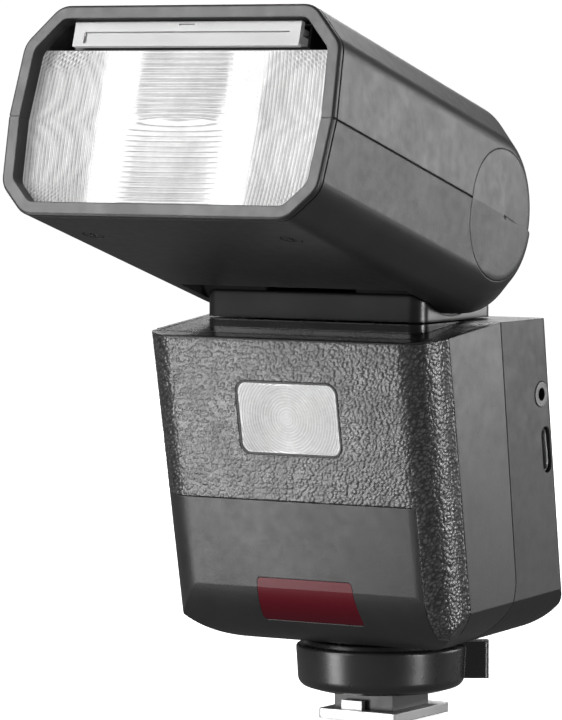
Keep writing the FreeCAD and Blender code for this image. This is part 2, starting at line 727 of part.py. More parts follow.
def case_block(inset, top_inset):
    """The case's outer form, or the same form drawn in by a wall."""
    low = size("case_bottom") - 5
    high = size("case_top") + 5
    wires = [rounded(*case_section(height, inset)) for height in (low, high)]
    leaning = Part.makeLoft(wires, True, True)
    ceiling = size("case_top") - top_inset
    brow = size("brow_height") - top_inset
    half = size("case_half_bottom") + 1 - inset
    corner = size("case_corner") - inset
    near = -60
    floor = belly_height(near) + inset
    front_view = [
        Vector(-half, near, floor + size("belly_crown")),
        Vector(-12, near, floor),
        Vector(12, near, floor),
        Vector(half, near, floor + size("belly_crown")),
        Vector(half + 1.0, near, ceiling + 3),
        Vector(-half - 1.0, near, ceiling + 3),
    ]
    rearwards = Vector(0, 100, 100 * size("belly_rise"))
    lower_corners = prism(front_view, [corner, 20, 20, corner, 0, 0], rearwards)
    front_low = side_line("front_bottom", "front_top", size("belly")) + inset
    front_brow = side_line("front_bottom", "front_top", brow) + inset
    rear_low = side_line("rear_bottom", "rear_top", size("belly")) - inset
    rear_high = side_line("rear_bottom", "rear_top", ceiling) - inset
    side_view = [
        Vector(-50, front_low, belly_height(front_low) + inset),
        Vector(-50, rear_low, belly_height(rear_low) + inset),
        Vector(-50, rear_high, ceiling),
        Vector(-50, size("seam_top"), ceiling),
        Vector(-50, front_brow, brow),
    ]
    radii = [size("chin_radius") - inset, size("heel_radius") - inset, 1.5, 0, 0.6]
    profile = prism(side_view, radii, Vector(100, 0, 0))
    return leaning.common(lower_corners).common(profile)


def seam_side(shift):
    """Everything ahead of the cover seam, the seam moved back by a shift."""
    top = size("seam_top") + shift
    low = size("seam_low") + shift
    slope = (size("seam_top") - size("seam_low")) / (size("case_top") - 30.0)
    upper = Vector(-60, top + 10 * slope, size("case_top") + 10)
    turn = Vector(-60, low, 30.0)
    ahead = Part.LineSegment(Vector(-60, -70, 10), Vector(-60, -70, size("case_top") + 10)).toShape()
    over = Part.LineSegment(Vector(-60, -70, size("case_top") + 10), upper).toShape()
    seam = Part.LineSegment(upper, turn).toShape()
    hook = Part.Arc(turn, Vector(-60, low - 1.6, 24.2), Vector(-60, low - 7.0, 17.0)).toShape()
    foot = Part.LineSegment(Vector(-60, low - 7.0, 17.0), Vector(-60, low - 7.0, 10)).toShape()
    close = Part.LineSegment(Vector(-60, low - 7.0, 10), Vector(-60, -70, 10)).toShape()
    return Part.Face(Part.Wire([ahead, over, seam, hook, foot, close])).extrude(Vector(120, 0, 0))


def upright(low_x, high_x, low_z, high_z, y):
    """Corners of a rectangle that faces along y."""
    corners = ((low_x, low_z), (high_x, low_z), (high_x, high_z), (low_x, high_z))
    return [Vector(x, y, z) for x, z in corners]


def in_frame(shape, frame):
    """A shape drawn in a frame, moved to the part's own frame."""
    return shape.transformGeometry(frame_matrix(frame).toMatrix())


LAMP_RISE = 46.24
WINDOW_LOW = 22.1
WINDOW_HIGH = 31.05


def lamp_opening(grow, low, high):
    """Rounded opening of the modelling lamp, between two depths behind the front face."""
    corners = upright(-11.45 - grow, 11.45 + grow, LAMP_RISE - 7.2 - grow, LAMP_RISE + 7.2 + grow, low)
    return prism(corners, [2.0 + grow] * 4, Vector(0, high - low, 0))


def window_opening(grow):
    """The four-sided opening of the red window in the chin of the case."""
    corners = [
        Vector(-11.9 - grow, -60, WINDOW_LOW - grow),
        Vector(11.9 + grow, -60, WINDOW_LOW - grow),
        Vector(11.0 + grow, -60, WINDOW_HIGH + grow),
        Vector(-11.0 - grow, -60, WINDOW_HIGH + grow),
    ]
    return prism(corners, [0.8] * 4, Vector(0, 45, 0))


def grip_skin_shape(outer):
    """The grained skin: the whole front face, less the smooth lower panel and the lamp."""
    rise = 1 / math.cos(math.radians(FRONT_LEAN))
    panel_top = (47.0 - size("case_bottom")) * rise
    brow = (size("brow_height") - size("case_bottom")) * rise - 0.4
    region = slab(Vector(-40, -4, 1.0), Vector(40, 7.4, brow))
    smooth = slab(Vector(-45, -5, -3), Vector(27.5, 12, panel_top))
    region = region.cut(smooth).cut(lamp_opening(0.45, -6, 12))
    layer = outer.cut(case_block(size("skin_thick"), 0))
    return layer.common(in_frame(region, "front")).removeSplitter()


def case_covers():
    """Front and rear covers, glossy top plate, grip skin and the two front windows."""
    wall = size("case_wall")
    outer = case_block(0, 0)
    shell = outer.cut(case_block(wall, wall))
    skin = grip_skin_shape(outer)
    hole = Part.makeCylinder(size("hub_hole"), 30, Vector(0, size("swivel_centre"), 65), Vector(0, 0, 1))
    groove = seam_side(size("seam_gap") / 2).cut(seam_side(-size("seam_gap") / 2))
    groove = groove.common(outer.cut(case_block(0.4, 0.4)))
    above_brow = slab(Vector(-50, -60, size("brow_height") - wall), Vector(50, 20, size("case_top") + 5))
    deck = case_block(1.2, 0).cut(case_block(1.2, wall)).common(seam_side(-0.1)).common(above_brow)
    deck = deck.fuse(swivel_pedestal().cut(case_block(1.2, wall))).cut(hole)
    deck_seat = case_block(1.1, -1).cut(case_block(1.1, wall + 0.1)).common(seam_side(0))
    front = shell.common(seam_side(0)).cut(groove).cut(deck_seat).cut(hole).cut(skin)
    front = front.cut(in_frame(lamp_opening(0.06, -5, 12), "front")).cut(window_opening(0.06))
    for x, y in CASE_SCREWS[:2]:
        front = front.cut(case_screw_seat(x, y))
    moulded("front_cover", front.removeSplitter())
    moulded("grip_skin", skin)
    moulded("top_plate", deck.removeSplitter())
    pane = outer.cut(case_block(1.6, 0)).common(window_opening(0))
    moulded("red_window", pane.removeSplitter())
    moulded("lamp_lens", lamp_opening(0, 0.1, 2.4), "front")
    rear = shell.cut(seam_side(0)).cut(groove).cut(hole)
    rear = rear.cut(in_frame(rear_openings(), "rear")).cut(in_frame(side_openings(), "middle"))
    for x, y in CASE_SCREWS[2:]:
        rear = rear.cut(case_screw_seat(x, y))
    moulded("rear_cover", rear.removeSplitter())


def swivel_pedestal():
    """Level step on the sloping front of the case top, as wide as the neck block above it."""
    half = size("neck_width") / 2
    front = size("swivel_centre") - size("neck_length") / 2
    rear = size("seam_top") - 0.1
    low = size("case_top") - 3.0
    plan = [Vector(x, y, low) for x, y in ((-half, front), (half, front), (half, rear), (-half, rear))]
    return prism(plan, [3.0, 3.0, 0, 0], Vector(0, 0, 3.0))


CASE_SCREWS = [(-17.0, -14.5), (17.0, -14.5), (-17.0, 8.5), (17.0, 8.5)]
BUTTONS = {
    "lamp_button": (-19.5, 27.5),
    "test_button": (19.5, 27.5),
    "mode_button": (-19.5, 10.5),
    "menu_button": (19.5, 10.5),
}


def case_screw_seat(x, y):
    """Counterbored hole for one screw in the case bottom."""
    floor = belly_height(y) + 0.15
    head = Part.makeCylinder(1.9, 1.3, Vector(x, y, floor - 0.3), Vector(0, 0, 1))
    shank = Part.makeCylinder(0.95, 6, Vector(x, y, floor), Vector(0, 0, 1))
    return head.fuse(shank)


def rear_openings():
    """Openings of the rear face, drawn in the rear frame: display, dial, buttons and ready lamp."""
    along = Vector(0, 14, 0)
    display = prism(upright(-21.6, 21.6, 36.4, 61.6, -9), [2.6] * 4, along)
    dial = Part.makeCylinder(
        size("dial_radius") + size("running_gap"), 14, Vector(0, -9, size("dial_height")), Vector(0, 1, 0)
    )
    holes = [display, dial]
    for x, z in BUTTONS.values():
        holes.append(Part.makeCylinder(size("button_radius") + 0.08, 14, Vector(x, -9, z), Vector(0, 1, 0)))
    holes.append(Part.makeCylinder(1.02, 14, Vector(19.5, -9, 33.2), Vector(0, 1, 0)))
    return Part.makeCompound(holes)


def pill(centre_y, centre_z, width, height, low_x, high_x):
    """A slot with round ends, cut along x."""
    half = width / 2
    tall = height / 2
    corners = [
        Vector(low_x, centre_y - half, centre_z - tall),
        Vector(low_x, centre_y + half, centre_z - tall),
        Vector(low_x, centre_y + half, centre_z + tall),
        Vector(low_x, centre_y - half, centre_z + tall),
    ]
    return prism(corners, [half * 0.999] * 4, Vector(high_x - low_x, 0, 0))


def side_openings():
    """Openings of the side walls, drawn in the middle frame: both sockets and the power switch."""
    inner_end = Vector(25, size("jack_depth"), size("jack_rise"))
    jack = Part.makeCylinder(size("jack_radius") + size("running_gap"), 20, inner_end, Vector(1, 0, 0))
    usb = pill(size("usb_depth"), size("usb_rise"), 3.6, 9.6, 25, 45)
    switch = slab(Vector(-45, 6.1, 41.9), Vector(-25, 9.9, 51.1))
    return Part.makeCompound([jack, usb, switch])


# ---------------------------------------------------------------- case contents
def front_lamp():
    """LED, its board and its white cup behind the lamp lens; assist lamp behind the red window."""
    shift = ("0", str(LAMP_RISE))
    plate("lamp_board", "front", "XZ_Plane", "27", "18", "board_thick", "-8.1", shift)
    plate("lamp_chip", "front", "XZ_Plane", "4.4", "4.4", "0.8", "-6.5", shift)
    block = box("cup_block", ("-11.3", "2.45", LAMP_RISE - 7.1), ("22.6", "4.05", "14.2"))
    inside = doc.addObject("Part::Cone", "cup_inside")
    inside.Placement = FreeCAD.Placement(Vector(), TURNS["y"])
    for prop, formula in (("Radius1", "6.9"), ("Radius2", "3.2"), ("Height", "4.3")):
        bind(inside, prop, formula)
    for axis, formula in zip("xyz", ("0", "2.4", LAMP_RISE)):
        bind(inside, "Placement.Base." + axis, formula)
    node("lamp_cup", [cut("cup_solid", block, [inside])], "front")
    emitter = cylinder("emitter_can", "3.2", "3.8", ("0.3", "-26.2", "28"), "y")
    node("assist_lamp", [emitter])
    board = box("assist_sheet", ("-11", "-22.4", "24"), ("22", "1.2", "12.5"))
    node("assist_board", [board])


def power_parts():
    """Battery, flash capacitor and main board, standing along the middle of the case."""
    plate("battery_pack", "middle", "XY_Plane", "30", "16", "47", "8.5", ("11", "-4"))
    disc("main_capacitor", "middle", "XY_Plane", "9.8", "43", "8.5", ("-17", "-4"))
    plate("main_board", "middle", "XZ_Plane", "55", "45", "board_thick", "-9.6", ("0", "32"))
    plate("control_board", "rear", "XZ_Plane", "47", "50", "1.4", "7.1", ("0", "34"))


def sockets():
    """Sync socket with its metal bezel, and the charging socket."""
    centre = ("jack_depth", "jack_rise")
    sleeve = cylinder("jack_sleeve", "jack_radius", "7.6", ("26.5", *centre), "x")
    rim = cylinder("jack_rim", "jack_radius", "0.3", ("34.1", *centre), "x")
    hole = cylinder("jack_hole", "jack_bore", "9", ("27.5", *centre), "x")
    groove = cylinder("jack_groove", "2.1", "0.35", ("33.95", *centre), "x")
    core = cylinder("jack_core", "1.75", "0.6", ("33.8", *centre), "x")
    channel = cut("jack_channel", groove, [core])
    node("sync_socket", [cut("jack_solid", fuse("jack_blank", [sleeve, rim]), [hole, channel])], "middle")
    depth = size("usb_depth")
    rise = size("usb_rise")
    metal = pill(depth, rise, 3.2, 9.0, 25.5, 33.4).cut(pill(depth, rise, 2.6, 8.4, 26.4, 34))
    tongue = slab(Vector(26.2, depth - 0.35, rise - 3.3), Vector(32.6, depth + 0.35, rise + 3.3))
    moulded("usb_socket", metal.fuse(tongue).removeSplitter(), "middle")


def rear_controls():
    """Display, dial, buttons and the switches behind them, drawn in the rear frame."""
    pane = prism(upright(-21.5, 21.5, 36.5, 61.5, -1.8), [2.5] * 4, Vector(0, 2.0, 0))
    moulded("display_window", pane, "rear")
    plate("display_panel", "rear", "XZ_Plane", "39", "22", "3.6", "2.2", ("0", "49"))
    control_dial()
    disc("set_button", "rear", "XZ_Plane", "4.5", "4.4", "-2.8", ("0", "dial_height"))
    disc("dial_encoder", "rear", "XZ_Plane", "9", "4.1", "2.9", ("0", "dial_height"))
    domes = []
    for name, (x, z) in BUTTONS.items():
        disc(name, "rear", "XZ_Plane", "button_radius", "4.2", "-1.2", (str(x), str(z)))
        domes.append(cylinder(name + "_dome", "2.4", "2.7", (x, "-7.1", z), "y"))
    node("tact_switches", domes, "rear")
    disc("ready_lamp", "rear", "XZ_Plane", "1", "2.3", "-0.2", ("19.5", "33.2"))


def control_dial():
    """Finger dial with notches around its rim and the set button's bore through it."""
    body = design("control_dial", "rear")
    outline = sketch_on(body, "XZ_Plane", "dial_outline", "-2.6", ("0", "dial_height"))
    circle(outline, "rim", "dial_radius")
    circle(outline, "bore", "4.5 + running_gap")
    pad(body, "dial_pad", outline, "4.2")
    notch = sketch_on(body, "XZ_Plane", "notch_outline", "-2.6", ("0", "dial_height"))
    circle(notch, "notch", "0.45", ("0", "dial_radius"))
    groove = body.newObject("PartDesign::Pocket", "notch_pocket")
    groove.Profile = notch
    bind(groove, "Length", "2")
    doc.recompute()
    pattern = body.newObject("PartDesign::PolarPattern", "notches")
    pattern.Originals = [groove]
    pattern.Axis = (outline, ["N_Axis"])
    pattern.Angle = 360
    pattern.Occurrences = 36
    body.Tip = pattern


def power_switch():
    """Sliding switch on the left side of the case."""
    knob = box("switch_knob", ("-36.2", "5", "40"), ("1.7", "6", "9"))
    ridges = [box(f"switch_ridge_{i}", ("-37", "4.5", 41.2 + 1.5 * i), ("1.3", "7", "0.6")) for i in range(5)]
    stem = box("switch_stem", ("-34.6", "6.2", "42"), ("4", "3.6", "5"))
    heel = box("switch_heel", ("-31.6", "4", "39"), ("1", "8", "11"))
    node("power_switch", [cut("switch_solid", fuse("switch_blank", [knob, stem, heel]), ridges)], "middle")


def case_fasteners():
    """Four screws in the case bottom."""
    screws = []
    for index, (x, y) in enumerate(CASE_SCREWS):
        floor = f"belly + belly_rise * ({y} + 15) + 0.15"
        head = cylinder(f"case_screw_head_{index}", "1.8", "0.9", (x, y, floor + " + 0.05"))
        shank = cylinder(f"case_screw_shank_{index}", "0.9", "3.6", (x, y, floor + " + 0.9"))
        slot = box(f"case_screw_slot_{index}", (x - 1.1, y - 0.2, floor + " - 0.2"), ("2.2", "0.4", "0.7"))
        screws.append(cut(f"case_screw_{index}", fuse(f"case_screw_blank_{index}", [head, shank]), [slot]))
    node("case_screws", screws)


# ---------------------------------------------------------------- shoe
PINS = [(0, 0), (-2.6, 2.8), (2.6, 2.8), (-2.6, -2.8), (2.6, -2.8)]
FOOT_SCREWS = [(-5.4, 4.8), (5.4, 4.8), (-5.4, -6.2), (5.4, -6.2)]
LOCK_PIN_Y = -5.7


def foot_plate():
    """Metal foot with clipped corners, holes for contacts, screws and lock pin, and a front tab."""
    body = design("foot_plate")
    outline = sketch_on(body, "XY_Plane", "foot_outline")
    rectangle(outline, "foot_width", "foot_length")
    pad(body, "foot_pad", outline, "foot_thick")
    tab = sketch_on(body, "XY_Plane", "foot_tab_outline", "foot_thick", ("-2", "-9.2"))
    rectangle(tab, "4.9", "1.3")
    pad(body, "foot_tab", tab, "1.9")
    holes = sketch_on(body, "XY_Plane", "foot_holes")
    for index, (x, y) in enumerate(PINS):
        circle(holes, f"contact_{index}", "1.15", ("0", "0") if x == y == 0 else (str(x), str(y)))
    for index, (x, y) in enumerate(FOOT_SCREWS):
        circle(holes, f"screw_{index}", "1.3", (str(x), str(y)))
    circle(holes, "lock", "lock_pin_radius + running_gap", ("0", str(LOCK_PIN_Y)))
    drilled = pocket_through(body, "foot_drilling", holes)
    doc.recompute()
    corners = [
        f"Edge{number}"
        for number, edge in enumerate(drilled.Shape.Edges, start=1)
        if edge.BoundBox.ZLength > 1.9 and abs(abs(edge.CenterOfMass.x) - size("foot_width") / 2) < 0.01
    ]
    chamfer = body.newObject("PartDesign::Chamfer", "foot_corners")
    chamfer.Base = (drilled, corners)
    chamfer.Size = 0.5


def shoe_base():
    """Insulating block, threaded boss and flange that join the foot to the case."""
    half_width = "block_width / 2"
    half_length = "block_length / 2"
    height = "block_top - foot_thick"
    block = box(
        "shoe_block",
        ("-" + half_width, "block_centre - " + half_length, "foot_thick"),
        ("block_width", "block_length", height),
    )
    boss_height = "ring_top + 0.3 - block_top"
    boss = cylinder("shoe_boss", "boss_radius", boss_height, ("0", "ring_centre", "block_top"))
    flange = cone("shoe_flange", "14.4", "14.8", "3", ("0", "ring_centre", "ring_top + 0.1"))
    case_form = doc.addObject("Part::Feature", "case_form")
    case_form.Shape = case_block(0, 0)
    tools = [case_form]
    for index, (x, y) in enumerate(PINS):
        tools.append(cylinder(f"contact_way_{index}", "pin_radius + running_gap", "8", (x, y, "1")))
    tools.append(cylinder("lock_way", "lock_pin_radius + running_gap", "9.5", ("0", LOCK_PIN_Y, "1")))
    for index, (x, y) in enumerate(FOOT_SCREWS):
        tools.append(cylinder(f"foot_screw_way_{index}", "0.7", "5.6", (x, y, "1")))
    node("shoe_base", [cut("shoe_solid", fuse("shoe_blank", [block, boss, flange]), tools)])


def shoe_contacts():
    """Sprung contact pins, the lock pin and the foot's screws."""
    pins = [cylinder(f"contact_pin_{i}", "pin_radius", "8", (x, y, "-0.4")) for i, (x, y) in enumerate(PINS)]
    node("contact_pins", pins)
    disc("lock_pin", "part", "XY_Plane", "lock_pin_radius", "9.6", "0.3", ("0", str(LOCK_PIN_Y)))
    screws = []
    for index, (x, y) in enumerate(FOOT_SCREWS):
        head = cylinder(f"foot_screw_head_{index}", "1.25", "1.2", (x, y, "0.1"))
        shank = cylinder(f"foot_screw_shank_{index}", "0.68", "4.5", (x, y, "1.2"))
        slot = box(f"foot_screw_slot_{index}", (x - 0.9, y - 0.15, "0"), ("1.8", "0.3", "0.5"))
        screws.append(cut(f"foot_screw_{index}", fuse(f"foot_screw_blank_{index}", [head, shank]), [slot]))
    node("foot_screws", screws)


def lock_ring():
    """Smooth clamping ring with one thumb lever, turned about the boss."""
    radius = size("ring_radius")
    low = size("ring_bottom")
    high = size("ring_top")
    bore = size("boss_radius") + size("running_gap")
    section = [
        Vector(bore, 0, low),
        Vector(13.4, 0, low),
        Vector(radius - 0.5, 0, low + 1.1),
        Vector(radius, 0, high - 1.1),
        Vector(radius - 1.6, 0, high - 1.1),
        Vector(radius - 2.0, 0, high),
        Vector(bore, 0, high),
    ]
    outline = Part.Face(rounded(section, [0, 1.5, 2.2, 0.6, 0.3, 0.3, 0]))
    ring = outline.revolve(Vector(), Vector(0, 0, 1), 360)
    thumb = [Vector(x, y, 8.1) for x, y in ((15.4, -2.6), (22.3, -2.6), (22.3, 2.6), (15.4, 2.6))]
    lever = prism(thumb, [0, 0.9, 0.9, 0], Vector(0, 0, 7.6))
    lever.rotate(Vector(), Vector(0, 0, 1), 30)
    bored = Part.makeCylinder(bore, 30, Vector(0, 0, 0), Vector(0, 0, 1))
    moulded("lock_ring", ring.fuse(lever).cut(bored).removeSplitter(), "ring")


# ---------------------------------------------------------------- the whole flash
head_covers()
head_optics()
zoom_drive()
head_electrics()
tilt_hinge()
head_fasteners()
neck_block()
swivel_bearing()
case_covers()
front_lamp()
power_parts()
sockets()
rear_controls()
power_switch()
case_fasteners()
foot_plate()
shoe_base()
shoe_contacts()
lock_ring()

doc.recompute()
failed = [obj.Name for obj in doc.Objects if "Invalid" in obj.State or "Error" in obj.State]
if failed:
    raise RuntimeError("objects that failed to compute: " + ", ".join(failed))
os.makedirs("parts", exist_ok=True)
for part in nodes:
    shape = part.Shape
    if shape.isNull() or not shape.isValid() or not shape.Solids:
        raise RuntimeError("bad shape: " + part.Label)
    shape.exportStep(f"parts/{part.Label}.step")
print(len(nodes), "sub-parts written")
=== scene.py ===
"""Looks of a speedlight flash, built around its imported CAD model.

Procedural finishes for every piece, three pieces modelled again with finer relief (the flash lens,
the modelling lamp's lens and the leather skin), and a small pale studio with its camera.
"""

import math

import bpy
import numpy as np
from mathutils import Matrix, Vector, noise
from mathutils.bvhtree import BVHTree


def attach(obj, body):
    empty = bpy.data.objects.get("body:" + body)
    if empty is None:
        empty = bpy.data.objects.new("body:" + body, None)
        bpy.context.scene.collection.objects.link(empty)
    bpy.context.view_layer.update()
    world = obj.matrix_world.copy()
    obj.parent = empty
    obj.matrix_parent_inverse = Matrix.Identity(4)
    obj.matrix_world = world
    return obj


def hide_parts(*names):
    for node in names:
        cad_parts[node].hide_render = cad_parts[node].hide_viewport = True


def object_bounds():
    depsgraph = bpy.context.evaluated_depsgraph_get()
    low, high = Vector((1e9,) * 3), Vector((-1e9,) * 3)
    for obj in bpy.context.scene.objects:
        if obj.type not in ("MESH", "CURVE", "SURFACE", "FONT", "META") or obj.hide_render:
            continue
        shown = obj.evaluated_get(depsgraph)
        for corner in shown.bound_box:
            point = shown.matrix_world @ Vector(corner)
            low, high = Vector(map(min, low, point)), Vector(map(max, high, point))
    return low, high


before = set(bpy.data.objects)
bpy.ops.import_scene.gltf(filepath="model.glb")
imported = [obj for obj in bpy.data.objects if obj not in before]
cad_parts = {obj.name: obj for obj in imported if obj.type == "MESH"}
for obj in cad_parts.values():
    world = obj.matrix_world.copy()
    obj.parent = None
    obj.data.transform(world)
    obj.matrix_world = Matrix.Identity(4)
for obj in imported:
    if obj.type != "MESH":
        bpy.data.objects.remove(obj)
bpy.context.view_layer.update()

MM = 0.001
WHITE = (1.0, 1.0, 1.0, 1.0)

# The head is drawn level about its tilt axis, then turned up to the angle it has at rest.
TILT_AXIS = Vector((0.0, -16.3, 104.9)) * MM
REST_TILT = math.radians(16.8)
HEAD = Matrix.Translation(TILT_AXIS) @ Matrix.Rotation(-REST_TILT, 4, "X")

# The case front leans forward about its lower edge.
FRONT_FOOT = Vector((0.0, -29.75, 18.5)) * MM
FRONT_LEAN = math.atan2(11.75, 64.7)
FRONT = Matrix.Translation(FRONT_FOOT) @ Matrix.Rotation(FRONT_LEAN, 4, "X")

# Heights in millimetres: the modelling lamp's middle along the leaning front, and the red window's edges.
LAMP_RISE = 46.24
WINDOW_LOW = 22.1
WINDOW_HIGH = 31.1

# Fixes the warp of the leather grain: unseeded, Blender's noise_vector takes its offsets from the clock.
GRAIN_SEED = 1


# ---------------------------------------------------------------- node helpers
def put(tree, kind, inputs=None, **settings):
    """Adds a node, sets its properties, and fills its inputs with values or links."""
    node = tree.nodes.new(kind)
    for key, value in settings.items():
        setattr(node, key, value)
    for key, value in (inputs or {}).items():
        if isinstance(value, bpy.types.NodeSocket):
            tree.links.new(value, node.inputs[key])
        else:
            node.inputs[key].default_value = value
    return node


def grey(value, tint=(1.0, 1.0, 1.0)):
    """A colour from one brightness and a tint."""
    return (value * tint[0], value * tint[1], value * tint[2], 1.0)


class Finish:
    """One procedural material, grown from object coordinates so that it needs no unwrapping."""

    def __init__(self, name):
        self.material = bpy.data.materials.new(name)
        self.material.use_nodes = True
        self.tree = self.material.node_tree
        self.tree.nodes.clear()
        self.place = put(self.tree, "ShaderNodeTexCoord").outputs["Object"]
        self.out = put(self.tree, "ShaderNodeOutputMaterial")
        self.skin = put(self.tree, "ShaderNodeBsdfPrincipled")
        self.tree.links.new(self.skin.outputs["BSDF"], self.out.inputs["Surface"])

    def set(self, **values):
        """Sets or links inputs of the surface; an underscore in a name stands for a space."""
        for key, value in values.items():
            socket = self.skin.inputs[key.replace("_", " ")]
            if isinstance(value, bpy.types.NodeSocket):
                self.tree.links.new(value, socket)
            else:
                socket.default_value = value
        return self

    def noise(self, millimetres, detail=2.0, stretch=(1.0, 1.0, 1.0), rough=0.5):
        """Cloudy noise whose lumps are about so many millimetres across."""
        scaled = put(self.tree, "ShaderNodeMapping", {"Vector": self.place, "Scale": stretch})
        inputs = {"Vector": scaled.outputs[0], "Scale": 1 / (millimetres * MM)}
        inputs |= {"Detail": detail, "Roughness": rough}
        return put(self.tree, "ShaderNodeTexNoise", inputs).outputs["Fac"]

    def cells(self, millimetres):
        """Rounded cells about so many millimetres across."""
        inputs = {"Vector": self.place, "Scale": 1 / (millimetres * MM)}
        return put(self.tree, "ShaderNodeTexVoronoi", inputs).outputs["Distance"]

    def stretch(self, value, low, high, to_low, to_high):
        """A value carried from one range to another, and kept inside it."""
        inputs = {"Value": value, "From Min": low, "From Max": high, "To Min": to_low, "To Max": to_high}
        return put(self.tree, "ShaderNodeMapRange", inputs).outputs["Result"]

    def blend(self, share, first, second):
        """A mix of two colours."""
        inputs = {"Fac": share, "Color1": first, "Color2": second}
        return put(self.tree, "ShaderNodeMixRGB", inputs).outputs[0]

    def sums(self, first, second, operation="ADD"):
        """Two numbers joined by an operation."""
        return put(self.tree, "ShaderNodeMath", {0: first, 1: second}, operation=operation).outputs[0]

    def rounded(self, radius):
        """Normal that rounds off sharp edges, and a mask that is bright along those edges."""
        bevel = put(self.tree, "ShaderNodeBevel", {"Radius": radius * MM}, samples=4).outputs[0]
        flat = put(self.tree, "ShaderNodeNewGeometry").outputs["Normal"]
        turn = put(self.tree, "ShaderNodeVectorMath", {0: bevel, 1: flat}, operation="DOT_PRODUCT")
        return bevel, self.stretch(turn.outputs["Value"], 0.995, 0.8, 0.0, 1.0)

    def bump(self, height, millimetres, normal=None, strength=1.0):
        """Normal after a height pattern so many millimetres deep."""
        inputs = {"Height": height, "Distance": millimetres * MM, "Strength": strength}
        if normal is not None:
            inputs["Normal"] = normal
        return put(self.tree, "ShaderNodeBump", inputs).outputs[0]


# ---------------------------------------------------------------- finishes
def plastic(name, value, rough, grain=0.35, depth=0.006, wear=0.35, edge=0.35):
    """Moulded plastic: fine spark-eroded grain, faint smudges, edges rounded off and a little paler."""
    finish = Finish(name)
    normal, worn = finish.rounded(edge)
    smudge = finish.noise(14.0, 4.0)
    mottle = finish.noise(2.2, 3.0)
    cloud = finish.stretch(smudge, 0.35, 0.7, 0.0, 1.0)
    body = finish.blend(cloud, grey(value * 0.88), grey(value * 1.12))
    paler = finish.sums(worn, wear, "MULTIPLY")
    colour = finish.blend(paler, body, grey(value * 2.2 + 0.02))
    dull = finish.stretch(finish.sums(smudge, mottle), 0.7, 1.3, rough * 0.9, rough * 1.12)
    height = finish.sums(finish.noise(grain, 2.0), finish.cells(grain * 1.6))
    finish.set(Base_Color=colour, Roughness=dull, Normal=finish.bump(height, depth, normal))
    return finish.material


def leather(name):
    """Leatherette: dark, with painted shade in the creases of the grain and paler ridges, and a fine tooth on
    top of the modelled grain.
    """
    finish = Finish(name)
    height = put(finish.tree, "ShaderNodeAttribute", attribute_name="grain").outputs["Fac"]
    # Painted shade: the colour runs from near black in the creases of the grain to paler on its ridges.
    colour = finish.blend(finish.stretch(height, 0.15, 0.9, 0.0, 1.0), grey(0.004), grey(0.060))
    fine = finish.noise(0.12, 3.0)
    dull = finish.stretch(finish.noise(6.0, 3.0), 0.3, 0.7, 0.30, 0.38)
    finish.set(Base_Color=colour, Roughness=dull, Normal=finish.bump(fine, 0.01), Specular_IOR_Level=0.9)
    return finish.material


def brushed(name, value, rough, across=(1.0, 14.0, 14.0), tint=(1.0, 1.0, 1.0), depth=0.004):
    """Metal with fine scratches drawn out along one direction."""
    finish = Finish(name)
    normal, worn = finish.rounded(0.25)
    lines = finish.noise(4.0, 5.0, across, 0.7)
    smudge = finish.noise(7.0, 3.0)
    colour = finish.blend(lines, grey(value * 0.82, tint), grey(value, tint))
    colour = finish.blend(worn, colour, grey(min(value * 1.2, 0.95), tint))
    dull = finish.stretch(finish.sums(lines, smudge), 0.7, 1.3, rough * 0.8, rough * 1.25)
    finish.set(Base_Color=colour, Metallic=1.0, Roughness=dull, Normal=finish.bump(lines, depth, normal))
    return finish.material


def mirror(name):
    """Bright vacuum-coated reflector, slightly dimpled."""
    finish = Finish(name)
    ripple = finish.noise(2.5, 1.0)
    finish.set(Base_Color=grey(0.93), Metallic=1.0, Roughness=0.12, Normal=finish.bump(ripple, 0.05))
    return finish.material


def ribbed_lens(name, glow, dark, see_through):
    """Clear ribbed lens over a bright reflector, with a painted glow: pale painted streaks, and painted shade
    darkening the valleys between the ribs.
    """
    finish = Finish(name)
    valley = put(finish.tree, "ShaderNodeAttribute", attribute_name="valley").outputs["Fac"]
    streaks = finish.noise(11.0, 3.0, (1.0, 1.0, 0.45), 0.6)
    fine = finish.noise(1.4, 2.0, (1.0, 1.0, 3.0), 0.6)
    pale = finish.stretch(finish.sums(streaks, finish.sums(fine, 0.25, "MULTIPLY")), 0.38, 0.85, 0.0, 1.0)
    # Painted light: the emission makes the lens glow, pale in painted streaks; painted shade darkens the
    # valleys between the ribs in the glow and in the base colour.
    painted_glow_streaks = finish.blend(pale, grey(0.36), grey(0.95))
    light = finish.blend(valley, painted_glow_streaks, grey(dark))
    colour = finish.blend(valley, grey(0.30), grey(dark * 0.3))
    finish.set(Base_Color=colour, Roughness=0.16, IOR=1.49, Transmission_Weight=see_through)
    finish.set(Emission_Color=light, Emission_Strength=glow, Coat_Weight=0.3, Coat_Roughness=0.03)
    return finish.material


def clear(name, colour, rough, see_through, glow=0.0):
    """Clear or tinted plastic or glass with a trace of haze in its surface."""
    finish = Finish(name)
    haze = finish.noise(6.0, 3.0)
    dull = finish.stretch(haze, 0.3, 0.7, rough * 0.7, rough * 1.4)
    finish.set(Base_Color=colour, Roughness=dull, IOR=1.49, Transmission_Weight=see_through)
    # The glow is emission; on the clear panel it is painted light.
    finish.set(Emission_Color=colour, Emission_Strength=glow, Normal=finish.bump(haze, 0.004))
    return finish.material


